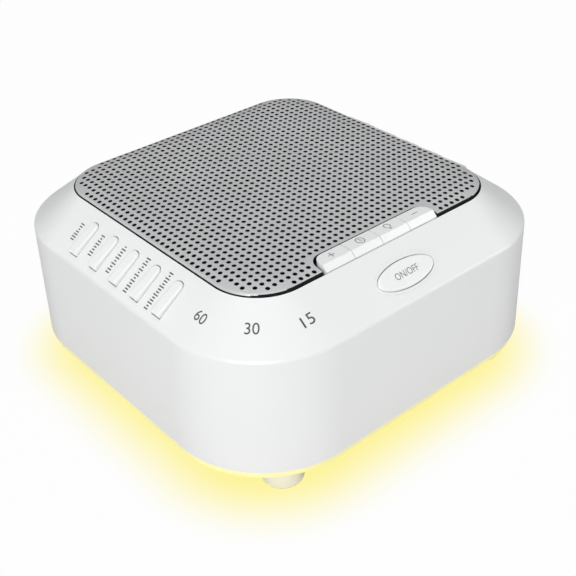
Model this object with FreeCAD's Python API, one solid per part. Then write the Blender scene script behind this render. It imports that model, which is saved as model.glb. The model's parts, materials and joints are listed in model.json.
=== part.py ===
import FreeCAD, Part
import math
import os

# A bedside sound machine: a low rounded-square housing with a sloping band round a perforated
# grille, a four-key bar at the grille's front edge, an oval power button on the front slope, five
# sound keys on the left slope and five on the right, and a lit ring under the rim.
# Millimetres. +Z is up, the front is -Y, and the origin is under the middle of the feet.

V = FreeCAD.Vector

# Housing, from the bottom up
CREASE_SIDE = 110.4       # across the housing at the crease between wall and slope
CREASE_R = 27.0           # corner radius at the crease
RIM_FLARE = 0.5           # the wall leans out by this much down to the rim
WALL_H = 32.7             # height of the side wall, rim to crease
SLOPE_RISE = 9.2          # height of the sloping band
OPENING_SIDE = 85.5       # across the opening that holds the grille
OPENING_R = 13.7
SHELL_T = 2.0             # wall of the housing
CREASE_ROUND = 1.0        # rounded edge at the crease
WELL_DEPTH = 4.0          # from the opening down to the baffle that the grille stands on
BAFFLE_T = 2.0

# Base, light ring and feet
FOOT_D = 11.0
FOOT_H = 7.0
FOOT_ROUND = 1.0
FOOT_X = 37.0             # the feet stand over the housing screws
FOOT_Y = 44.0
BASE_T = 2.0
RIM_STEP = 1.0            # the rim stands this far above the base plate
BASE_RIB_IN = 1.5         # the light board's rib is this much narrower on each side
RING_H = 2.2              # height of the light ring that shows under the rim
RING_INSET = 0.8          # the ring stands back from the rim
RING_FACE = 2.4           # thickness of the ring behind its lit face
RING_SHELF = 4.0          # width of the shelf that lies on the base
RING_LIP_H = 3.0          # the lip that centres the ring in the housing
RING_LIP_T = 1.4
RING_SEAM = 1.0           # the shelf starts this far behind the ring's face
PLUG_GAP = 0.4            # from a foot's plug to the screw's head
PLUG_ROOT = 0.5           # the plug starts this far inside the foot
FIT_GAP = 0.2             # between moulded pieces that fit into each other

# Grille
GRILLE_T = 0.6
GRILLE_PROUD = 1.3        # the grille stands this far above the opening's edge
GRILLE_GAP = 0.35         # black line round the grille
GRILLE_ROLL = 0.7         # rolled edge
HOLE_D = 1.05
HOLE_PITCH = 2.05
HOLE_RIM = 0.05           # flat left between the outer holes and the rolled edge

# Four-key bar at the front edge of the grille
BAR_X = -1.4              # middle of the bar
BAR_W = 37.5
BAR_DEPTH = 5.3
BAR_PROUD = 0.4           # the keys stand above the grille
BAR_END_R = 3.0
BAR_BEVEL = 1.4
BAR_KEYS = ("plus_key", "timer_key", "light_key", "minus_key")
BAR_STEM_BACK = 1.6       # the stems stand this far from the back of the keys
KEY_GAP = 0.2             # running gap round every key

# Sound keys on the left and right slopes, measured along and up the slope
SOUND_KEYS = 5
SOUND_PITCH = 9.3
SOUND_SHIFT = 1.0         # the rows stand this far towards the front
SOUND_W = 3.2
SOUND_LOW = 2.4           # lower end of the keys above the crease
SOUND_LEN = 9.9
SOUND_TOP_R = 1.4
SOUND_PROUD_LOW = 1.2     # height over the slope at the lower end
SOUND_PROUD_TOP = 0.5     # and at the upper end
SOUND_EDGE = 0.45

# Oval power button on the front slope
OVAL_X = -1.0
OVAL_UP = 6.9
OVAL_W = 18.3
OVAL_H = 7.0
OVAL_PROUD = 0.7
OVAL_EDGE = 0.5
OVAL_RIM_W = 0.9
OVAL_RIM_H = 0.25

# What holds and reads the keys
KEY_TRAVEL = 0.8
KEY_SEAT = 0.05           # under the shell, at rest
KEY_FLANGE = 0.8
FLANGE_TOP_OUT = 0.2      # but only this much at the upper end of a sound key
POCKET_SPARE = 0.3        # room left under a pressed flange
KEY_FLANGE_T = 1.0
STEM_D = 2.8
STEM_IN = 0.5             # the stem's tip stands in the switch by this much
SWITCH_SIDE = 4.5
SWITCH_H = 3.0
SWITCH_WELL_D = 3.0
SWITCH_WELL = 1.8
SWITCH_GAP = 1.35         # from the key's flange to the switch
BOARD_T = 1.2
POST_D = 4.0
SLOPE_BOARD_LEN = 50.0
SLOPE_BOARD_W = 8.0
POWER_BOARD_LEN = 26.0
BAR_BOARD_LEN = 50.0
BAR_BOARD_W = 8.0

# Screws
SMALL_SCREW_D = 1.6
SMALL_HEAD_D = 3.2
SMALL_HEAD_H = 1.0
SMALL_SCREW_LEN = 4.0
BIG_SCREW_D = 2.6
BIG_HEAD_D = 5.0
BIG_HEAD_H = 1.6
BIG_SCREW_LEN = 10.0
SCREW_PLAY = 0.25         # round a screw in a clearance hole

# Housing bosses and the cups in the base that take the screw heads
BOSS_D = 7.0
CUP_D = 9.6
CUP_FLOOR = 2.0
CUP_DEPTH = 3.0

# Loudspeaker
SPEAKER_Y = 4.0
BAFFLE_HOLE_R = 24.4
GASKET_T = 0.8
FRAME_R = 29.0
FRAME_T = 1.2
BASKET_R = 23.4
BASKET_DEPTH = 12.0
PLATE_R = 15.0
PLATE_T = 2.4
MAGNET_R = 17.0
MAGNET_T = 6.5
YOKE_T = 2.4
COIL_R = 6.6
COIL_T = 0.5
POLE_R = 5.8
CONE_T = 0.5
CONE_DEPTH = 5.0
CONE_R = 19.6
SURROUND_RISE = 1.7
SURROUND_T = 0.4
SPEAKER_SCREW_R = 26.8
SPEAKER_BITE = 1.5        # how far its screws go into the baffle
BASKET_WINDOW = 9.0       # width of the windows in the basket
BASKET_LEDGE = 2.0        # ledge that the spider is glued to
COIL_NECK = 3.0           # hole in the basket's floor, round the coil
COIL_LOW = 0.5            # the coil ends this far above the top plate's underside
POLE_LOW = 0.3            # the pole ends this far under the basket's floor
SPIDER_EDGE = 0.3         # the spider ends this far inside the ledge
MAGNET_HOLE = 1.5         # the magnet's hole is wider than the plate's by this much
CAP_OVER = 2.5            # the dust cap reaches this far outside the coil
CAP_RISE = 2.4
CONE_RIM = 1.5            # width of the cone's rim that the surround is glued to
CURVE_STEPS = 8

# Main board and power inlet
MAIN_W = 62.0
MAIN_L = 48.0
MAIN_POST_H = 3.0
MAIN_POST_D = 5.0
MAIN_EDGE = 6.0           # posts stand this far in from the board's edges
JACK_W = 9.0
JACK_H = 11.0
JACK_L = 13.5
JACK_BORE_D = 6.4
JACK_PIN_D = 2.0
JACK_BORE_L = 9.5
JACK_HOLE_D = 8.4
JACK_BACK = 1.0           # wall behind the pin

# What stands on the main board: left side, distance from the back edge, width, depth, height
CHIPS = ((-14.0, 34.0, 10.0, 10.0, 1.6), (6.0, 32.0, 6.0, 5.0, 1.6), (-20.0, 20.0, 3.0, 5.0, 1.2))
# Capacitors: middle, distance from the back edge, diameter, height
CANS = ((18.0, 10.0, 5.0, 6.5), (24.0, 16.0, 5.0, 6.5), (-24.0, 10.0, 4.0, 5.0))

# Light board
LIGHT_BOARD_W = 5.0
LIGHT_BOARD_GAP = 1.0
LED_PER_SIDE = 4
LED_PITCH = 14.0
LED_SIZE = (3.5, 1.6, 1.4)

# Heights that follow
BASE_Z = FOOT_H
BASE_TOP = BASE_Z + BASE_T
RIM_Z = BASE_TOP + RIM_STEP
RING_Z = RIM_Z - RING_H
CREASE_Z = RIM_Z + WALL_H
OPENING_Z = CREASE_Z + SLOPE_RISE
BAFFLE_TOP = OPENING_Z - WELL_DEPTH
BAFFLE_Z = BAFFLE_TOP - BAFFLE_T
GRILLE_Z = OPENING_Z + GRILLE_PROUD
SLOPE_RUN = (CREASE_SIDE - OPENING_SIDE) / 2
SLOPE_ANGLE = math.atan2(SLOPE_RISE, SLOPE_RUN)
RIM_HALF = CREASE_SIDE / 2 + RIM_FLARE
RIM_R = CREASE_R + RIM_FLARE

# Depths under the slope's surface, for the keys that stand on it
FLANGE_TOP = SHELL_T + KEY_SEAT
FLANGE_LOW = FLANGE_TOP + KEY_FLANGE_T
SWITCH_TOP = FLANGE_LOW + SWITCH_GAP
STEM_TIP = SWITCH_TOP + STEM_IN
BOARD_TOP = SWITCH_TOP + SWITCH_H
POCKET_LOW = FLANGE_LOW + KEY_TRAVEL + POCKET_SPARE

LEFT, FRONT, RIGHT = -90.0, 0.0, 90.0


def square(half, r, z):
    """Closed wire: a square with four rounded corners, at height z."""
    edges = []
    corners = ((1, -1, 270), (1, 1, 0), (-1, 1, 90), (-1, -1, 180))
    for i, (sx, sy, start) in enumerate(corners):
        c = V(sx * (half - r), sy * (half - r), z)
        circle = Part.Circle(c, V(0, 0, 1), r)
        arc = Part.Arc(circle, math.radians(start), math.radians(start + 90)).toShape()
        edges.append(arc)
        nx, ny, next_start = corners[(i + 1) % 4]
        a = math.radians(next_start)
        q = V(nx * (half - r), ny * (half - r), z) + V(r * math.cos(a), r * math.sin(a), 0)
        edges.append(Part.makeLine(arc.valueAt(arc.LastParameter), q))
    return Part.Wire(edges)


def prism(wire, height):
    return Part.Face(wire).extrude(V(0, 0, height))


def ring(outer, inner, height):
    """Solid between two closed wires, as high as said."""
    return prism(outer, height).cut(prism(inner, height))


def rod(d, z0, z1, x=0.0, y=0.0):
    return Part.makeCylinder(d / 2, z1 - z0, V(x, y, z0))


def block(x0, x1, y0, y1, z0, z1):
    return Part.makeBox(x1 - x0, y1 - y0, z1 - z0, V(x0, y0, z0))


def union(shapes):
    out = shapes[0]
    if len(shapes) > 1:
        out = out.multiFuse(shapes[1:])
    return out.removeSplitter()


def turned(points, x=0.0, y=0.0):
    """Solid of revolution about the vertical line through x, y; points are radius and height."""
    loop = [V(r, 0, z) for r, z in points]
    face = Part.Face(Part.makePolygon(loop + [loop[0]]))
    solid = face.revolve(V(0, 0, 0), V(0, 0, 1), 360)
    solid.translate(V(x, y, 0))
    return solid


def on_slope(shape, side):
    """Move a shape from the slope's own frame to its side of the housing.

    In that frame x runs along the crease, y up the slope and z straight out of it, and the
    origin is in the middle of the crease."""
    out = shape.copy()
    out.rotate(V(0, 0, 0), V(1, 0, 0), math.degrees(SLOPE_ANGLE))
    out.translate(V(0, -CREASE_SIDE / 2, CREASE_Z))
    out.rotate(V(0, 0, 0), V(0, 0, 1), side)
    return out


def edges_where(solid, test):
    """Edges whose middle point passes the test."""
    found = []
    for e in solid.Edges:
        middle = e.valueAt((e.FirstParameter + e.LastParameter) / 2)
        if test(middle):
            found.append(e)
    return found


def sound_xs(side):
    """Places of the sound keys along a side slope, counted from the back on both sides."""
    toward_front = 1 if side == LEFT else -1
    step = SOUND_PITCH * toward_front
    first = toward_front * SOUND_SHIFT - step * (SOUND_KEYS - 1) / 2
    return [first + i * step for i in range(SOUND_KEYS)]


# Housing

def housing_body():
    """The solid envelope of the housing, with the crease rounded."""
    wires = [square(RIM_HALF, RIM_R, RIM_Z),
             square(CREASE_SIDE / 2, CREASE_R, CREASE_Z),
             square(OPENING_SIDE / 2, OPENING_R, OPENING_Z)]
    body = Part.makeLoft(wires, True, True)
    crease = edges_where(body, lambda p: abs(p.z - CREASE_Z) < 0.01)
    return body.makeFillet(CREASE_ROUND, crease)


def housing_cavity():
    """The hollow under the baffle, one shell thickness inside the envelope."""
    s, c = math.sin(SLOPE_ANGLE), math.cos(SLOPE_ANGLE)
    inner_half = CREASE_SIDE / 2 - SHELL_T
    inner_crease_z = CREASE_Z - SHELL_T * (1 - s) / c
    run_at_baffle = (SHELL_T + (BAFFLE_Z - CREASE_Z) * c) / s
    top_half = CREASE_SIDE / 2 - run_at_baffle
    top_r = CREASE_R + (OPENING_R - CREASE_R) * run_at_baffle / SLOPE_RUN
    wires = [square(RIM_HALF - SHELL_T, RIM_R - SHELL_T, RIM_Z),
             square(inner_half, CREASE_R - SHELL_T, inner_crease_z),
             square(top_half, top_r, BAFFLE_Z)]
    return Part.makeLoft(wires, True, True)


def sound_outline(grow=0.0):
    """Outline of a sound key in the slope's frame: square below, rounded at the upper end."""
    half, low, top = SOUND_W / 2 + grow, -grow, SOUND_LEN + grow
    r = SOUND_TOP_R + grow
    half_turn = math.sqrt(0.5)
    left_mid = V(-half + r - r * half_turn, top - r + r * half_turn, 0)
    right_mid = V(half - r + r * half_turn, top - r + r * half_turn, 0)
    edges = [Part.makeLine(V(-half, low, 0), V(half, low, 0)),
             Part.makeLine(V(half, low, 0), V(half, top - r, 0)),
             Part.Arc(V(half, top - r, 0), right_mid, V(half - r, top, 0)).toShape(),
             Part.makeLine(V(half - r, top, 0), V(-half + r, top, 0)),
             Part.Arc(V(-half + r, top, 0), left_mid, V(-half, top - r, 0)).toShape(),
             Part.makeLine(V(-half, top - r, 0), V(-half, low, 0))]
    wire = Part.Wire(edges)
    wire.translate(V(0, SOUND_LOW, 0))
    return wire


def sound_flange(grow=0.0):
    """Outline of a sound key's flange: it stands out at the sides and the lower end."""
    wire = sound_outline(KEY_FLANGE + grow)
    wire.translate(V(0, FLANGE_TOP_OUT - KEY_FLANGE, 0))
    return wire


def oval_outline(grow=0.0):
    ellipse = Part.Ellipse(V(0, 0, 0), OVAL_W / 2 + grow, OVAL_H / 2 + grow)
    wire = Part.Wire([ellipse.toShape()])
    wire.translate(V(OVAL_X, OVAL_UP, 0))
    return wire


def slab(wire, low, high):
    """Prism over a flat wire, from one height to another."""
    moved = wire.copy()
    moved.translate(V(0, 0, low))
    return prism(moved, high - low)


def bar_back():
    return -OPENING_SIDE / 2 + FIT_GAP + BAR_DEPTH


def bar_outline(grow=0.0):
    """Plan of the key bar: straight at the front, rounded at its two back corners."""
    front = -OPENING_SIDE / 2 + FIT_GAP - grow
    back = bar_back() + grow
    x0, x1 = BAR_X - BAR_W / 2 - grow, BAR_X + BAR_W / 2 + grow
    r = BAR_END_R + grow
    half_turn = math.sqrt(0.5)
    right_mid = V(x1 - r + r * half_turn, back - r + r * half_turn, 0)
    left_mid = V(x0 + r - r * half_turn, back - r + r * half_turn, 0)
    edges = [Part.makeLine(V(x0, front, 0), V(x1, front, 0)),
             Part.makeLine(V(x1, front, 0), V(x1, back - r, 0)),
             Part.Arc(V(x1, back - r, 0), right_mid, V(x1 - r, back, 0)).toShape(),
             Part.makeLine(V(x1 - r, back, 0), V(x0 + r, back, 0)),
             Part.Arc(V(x0 + r, back, 0), left_mid, V(x0, back - r, 0)).toShape(),
             Part.makeLine(V(x0, back - r, 0), V(x0, front, 0))]
    return Part.Wire(edges)


def slope_posts():
    """Posts under a side slope that carry its switch board, between the outer pairs of keys."""
    return [SOUND_PITCH * (SOUND_KEYS - 2) / 2 * k for k in (-1, 1)]


def power_posts():
    return [OVAL_X + k * (POWER_BOARD_LEN / 2 - POST_D / 2) for k in (-1, 1)]


def bar_posts():
    return [BAR_X + k * (BAR_BOARD_LEN / 2 - POST_D / 2) for k in (-1, 1)]


def bar_stem_y():
    return bar_back() - BAR_STEM_BACK


def post(x, y):
    """Hollow post from the slope's inner face down to a switch board, in the slope's frame."""
    solid = slab(Part.Wire([Part.Circle(V(x, y, 0), V(0, 0, 1), POST_D / 2).toShape()]),
                 -BOARD_TOP, -SHELL_T / 2)
    hole = slab(Part.Wire([Part.Circle(V(x, y, 0), V(0, 0, 1), SMALL_SCREW_D / 2).toShape()]),
                -BOARD_TOP - 1, -SHELL_T)
    return solid, hole


def row_shift(side):
    return SOUND_SHIFT if side == LEFT else -SOUND_SHIFT


def foot_places():
    return [(sx * FOOT_X, sy * FOOT_Y) for sx in (-1, 1) for sy in (-1, 1)]


def jack_z():
    return BASE_TOP + MAIN_POST_H + BOARD_T + JACK_H / 2


def make_housing():
    body = housing_body()
    shell = body.cut(housing_cavity())
    well = prism(square(OPENING_SIDE / 2, OPENING_R, BAFFLE_TOP), WELL_DEPTH + 1)
    boss_low = BASE_Z + CUP_DEPTH + CUP_FLOOR
    adds, cuts = [], [well]
    for x, y in foot_places():
        adds.append(rod(BOSS_D, boss_low, OPENING_Z, x, y).common(body).cut(well))
        cuts.append(rod(BIG_SCREW_D, boss_low - 1, boss_low + BIG_SCREW_LEN, x, y))
    for side in (LEFT, RIGHT):
        middle = row_shift(side)
        for x in slope_posts():
            solid, hole = post(x + middle, SOUND_LOW + SOUND_LEN / 2)
            adds.append(on_slope(solid, side))
            cuts.append(on_slope(hole, side))
        for x in sound_xs(side):
            for hole in (slab(sound_outline(KEY_GAP), -SHELL_T - 1, 1),
                         slab(sound_flange(KEY_GAP), -POCKET_LOW, -SHELL_T)):
                hole.translate(V(x, 0, 0))
                cuts.append(on_slope(hole, side))
    rim = slab(oval_outline(OVAL_RIM_W), -SHELL_T / 2, OVAL_RIM_H)
    adds.append(on_slope(rim, FRONT))
    cuts.append(on_slope(slab(oval_outline(KEY_GAP), -SHELL_T - 1, 1), FRONT))
    cuts.append(on_slope(slab(oval_outline(KEY_FLANGE + KEY_GAP), -POCKET_LOW, -SHELL_T), FRONT))
    for x in power_posts():
        solid, hole = post(x, OVAL_UP)
        adds.append(on_slope(solid, FRONT))
        cuts.append(on_slope(hole, FRONT))
    for x in bar_posts():
        y = bar_stem_y()
        adds.append(rod(POST_D, BAFFLE_Z - bar_board_depth(), BAFFLE_Z + BAFFLE_T / 2, x, y))
        cuts.append(rod(SMALL_SCREW_D, BAFFLE_Z - bar_board_depth() - 1, BAFFLE_Z, x, y))
    cuts.append(slab(bar_outline(KEY_GAP), BAFFLE_Z - 1, BAFFLE_TOP + 1))
    cuts.append(rod(2 * BAFFLE_HOLE_R, BAFFLE_Z - 1, BAFFLE_TOP + 1, 0, SPEAKER_Y))
    for x, y in speaker_screw_places():
        cuts.append(rod(SMALL_SCREW_D, BAFFLE_Z - 1, BAFFLE_Z + SPEAKER_BITE, x, y))
    inlet = Part.makeCylinder(JACK_HOLE_D / 2, 3 * SHELL_T,
                              V(0, CREASE_SIDE / 2 - 2 * SHELL_T, jack_z()), V(0, 1, 0))
    cuts.append(inlet)
    shell = shell.multiFuse(adds)
    return shell.cut(Part.makeCompound(cuts)).removeSplitter()


def bar_board_depth():
    """From the baffle's underside to the top of the bar's switch board."""
    return BOARD_TOP - SHELL_T


# Grille

def hole_centres():
    """Square lattice of holes, kept inside the rounded outline and clear of the key bar."""
    half = OPENING_SIDE / 2 - GRILLE_GAP
    margin = GRILLE_ROLL + HOLE_RIM + HOLE_D / 2
    limit = half - margin
    corner = limit - (OPENING_R - GRILLE_GAP - margin)
    count = int(limit / HOLE_PITCH)
    clear = GRILLE_GAP + HOLE_D
    notch_y = bar_back() + clear
    notch_x0, notch_x1 = BAR_X - BAR_W / 2 - clear, BAR_X + BAR_W / 2 + clear
    places = []
    for i in range(-count, count + 1):
        for j in range(-count, count + 1):
            x, y = i * HOLE_PITCH, j * HOLE_PITCH
            over_x, over_y = abs(x) - corner, abs(y) - corner
            if over_x > 0 and over_y > 0 and math.hypot(over_x, over_y) > limit - corner:
                continue
            if y < notch_y and notch_x0 < x < notch_x1:
                continue
            places.append((x, y))
    return places


def make_grille():
    half, r = OPENING_SIDE / 2 - GRILLE_GAP, OPENING_R - GRILLE_GAP
    skin_z = GRILLE_Z - GRILLE_T
    pan = prism(square(half, r, BAFFLE_TOP), GRILLE_Z - BAFFLE_TOP)
    edge = edges_where(pan, lambda p: abs(p.z - GRILLE_Z) < 0.01)
    pan = pan.makeFillet(GRILLE_ROLL, edge)
    hollow = prism(square(half - GRILLE_T, r - GRILLE_T, BAFFLE_TOP), skin_z - BAFFLE_TOP)
    pan = pan.cut(hollow)
    pan = pan.cut(slab(bar_outline(GRILLE_GAP), BAFFLE_TOP - 1, GRILLE_Z + 1))
    hole = rod(HOLE_D, skin_z - 1, GRILLE_Z + 1)
    holes = []
    for x, y in hole_centres():
        one = hole.copy()
        one.translate(V(x, y, 0))
        holes.append(one)
    return pan.cut(Part.makeCompound(holes))


# Keys

def sound_key(x, side):
    """A raised rib, taller at its lower end, with a flange under the slope and a stem."""
    body = slab(sound_outline(), -FLANGE_LOW, SOUND_PROUD_LOW)
    top = SOUND_LOW + SOUND_LEN
    edge = SOUND_W
    profile = [V(-edge, SOUND_LOW - 1, -2 * FLANGE_LOW), V(-edge, top + 1, -2 * FLANGE_LOW),
               V(-edge, top + 1, SOUND_PROUD_TOP), V(-edge, top, SOUND_PROUD_TOP),
               V(-edge, SOUND_LOW, SOUND_PROUD_LOW), V(-edge, SOUND_LOW - 1, SOUND_PROUD_LOW)]
    side_view = Part.Face(Part.makePolygon(profile + [profile[0]])).extrude(V(2 * edge, 0, 0))
    body = body.common(side_view)
    rim = edges_where(body, lambda p: p.z > SOUND_PROUD_TOP * 0.9)
    body = body.makeFillet(SOUND_EDGE, rim)
    flange = slab(sound_flange(), -FLANGE_LOW, -FLANGE_TOP)
    circle = Part.Circle(V(0, SOUND_LOW + SOUND_LEN / 2, 0), V(0, 0, 1), STEM_D / 2).toShape()
    stem = slab(Part.Wire([circle]), -STEM_TIP, -FLANGE_LOW)
    key = union([body, flange, stem])
    key.translate(V(x, 0, 0))
    return on_slope(key, side)


def power_button():
    """An oval cap with a soft edge, a flange under the slope and a stem."""
    cap = slab(oval_outline(), -FLANGE_LOW, OVAL_PROUD)
    rim = edges_where(cap, lambda p: p.z > OVAL_PROUD - 0.01)
    cap = cap.makeFillet(OVAL_EDGE, rim)
    flange = slab(oval_outline(KEY_FLANGE), -FLANGE_LOW, -FLANGE_TOP)
    circle = Part.Circle(V(OVAL_X, OVAL_UP, 0), V(0, 0, 1), STEM_D / 2).toShape()
    stem = slab(Part.Wire([circle]), -STEM_TIP, -FLANGE_LOW)
    return on_slope(union([cap, flange, stem]), FRONT)


def bar_key_span(i):
    """Left and right side of a key in the bar."""
    pitch = (BAR_W + KEY_GAP) / len(BAR_KEYS)
    x0 = BAR_X - BAR_W / 2 + i * pitch
    return x0, x0 + pitch - KEY_GAP


def bar_key(i):
    """A key of the bar: a bevelled cap through the baffle's window, a flange and a stem."""
    x0, x1 = bar_key_span(i)
    top = GRILLE_Z + BAR_PROUD
    front = -OPENING_SIDE / 2 + FIT_GAP
    low = BAFFLE_Z - KEY_SEAT - KEY_FLANGE_T
    cap = slab(bar_outline(), low, top).common(block(x0, x1, front - 1, bar_back() + 1, low, top))
    bevel = [V(x0 - 1, front, top - BAR_BEVEL), V(x0 - 1, front + BAR_BEVEL, top),
             V(x0 - 1, front - 1, top + 1)]
    cap = cap.cut(Part.Face(Part.makePolygon(bevel + [bevel[0]])).extrude(V(x1 - x0 + 2, 0, 0)))
    flange = block(x0, x1, front - KEY_FLANGE, bar_back() + KEY_FLANGE, low, low + KEY_FLANGE_T)
    stem_low = BAFFLE_Z - (STEM_TIP - SHELL_T)
    stem = rod(STEM_D, stem_low, low, (x0 + x1) / 2, bar_stem_y())
    return union([cap, flange, stem])


# Switches and their boards

def switch(x, y, top):
    """A push switch standing under the height top, with the well that the stem runs in."""
    half = SWITCH_SIDE / 2
    body = block(x - half, x + half, y - half, y + half, top - SWITCH_H, top)
    return body.cut(rod(SWITCH_WELL_D, top - SWITCH_WELL, top + 1, x, y))


def small_screw(x, y, top):
    """Screw that goes up through a board: its head is under the height top."""
    head = rod(SMALL_HEAD_D, top - SMALL_HEAD_H, top, x, y)
    shank = rod(SMALL_SCREW_D, top, top + SMALL_SCREW_LEN, x, y)
    return union([head, shank])


def board(x0, x1, y0, y1, top, holes):
    plate = block(x0, x1, y0, y1, top - BOARD_T, top)
    for x, y in holes:
        plate = plate.cut(rod(SMALL_SCREW_D + 2 * SCREW_PLAY, top - BOARD_T - 1, top + 1, x, y))
    return plate


def side_electronics(side):
    """Switch board, switches and screws under a side slope."""
    mid, up = row_shift(side), SOUND_LOW + SOUND_LEN / 2
    holes = [(x + mid, up) for x in slope_posts()]
    plate = board(mid - SLOPE_BOARD_LEN / 2, mid + SLOPE_BOARD_LEN / 2,
                  up - SLOPE_BOARD_W / 2, up + SLOPE_BOARD_W / 2, -BOARD_TOP, holes)
    switches = [switch(x, up, -SWITCH_TOP) for x in sound_xs(side)]
    screws = [small_screw(x, y, -BOARD_TOP - BOARD_T) for x, y in holes]
    return (on_slope(plate, side), [on_slope(s, side) for s in switches],
            [on_slope(s, side) for s in screws])


def power_electronics():
    holes = [(x, OVAL_UP) for x in power_posts()]
    half = POWER_BOARD_LEN / 2
    width = POST_D + 2
    plate = board(OVAL_X - half, OVAL_X + half, OVAL_UP - width / 2, OVAL_UP + width / 2,
                  -BOARD_TOP, holes)
    one = switch(OVAL_X, OVAL_UP, -SWITCH_TOP)
    screws = [small_screw(x, y, -BOARD_TOP - BOARD_T) for x, y in holes]
    return on_slope(plate, FRONT), on_slope(one, FRONT), [on_slope(s, FRONT) for s in screws]


def bar_electronics():
    y = bar_stem_y()
    top = BAFFLE_Z - bar_board_depth()
    holes = [(x, y) for x in bar_posts()]
    half = BAR_BOARD_LEN / 2
    plate = board(BAR_X - half, BAR_X + half, y - SWITCH_SIDE / 2, y - SWITCH_SIDE / 2 + BAR_BOARD_W,
                  top, holes)
    switches = []
    for i in range(len(BAR_KEYS)):
        x0, x1 = bar_key_span(i)
        switches.append(switch((x0 + x1) / 2, y, top + SWITCH_H))
    return plate, switches, [small_screw(x, y, top - BOARD_T) for x, y in holes]


# Loudspeaker

def speaker_screw_places():
    angles = [math.radians(45 + 90 * k) for k in range(4)]
    return [(SPEAKER_SCREW_R * math.cos(a), SPEAKER_Y + SPEAKER_SCREW_R * math.sin(a))
            for a in angles]


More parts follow.
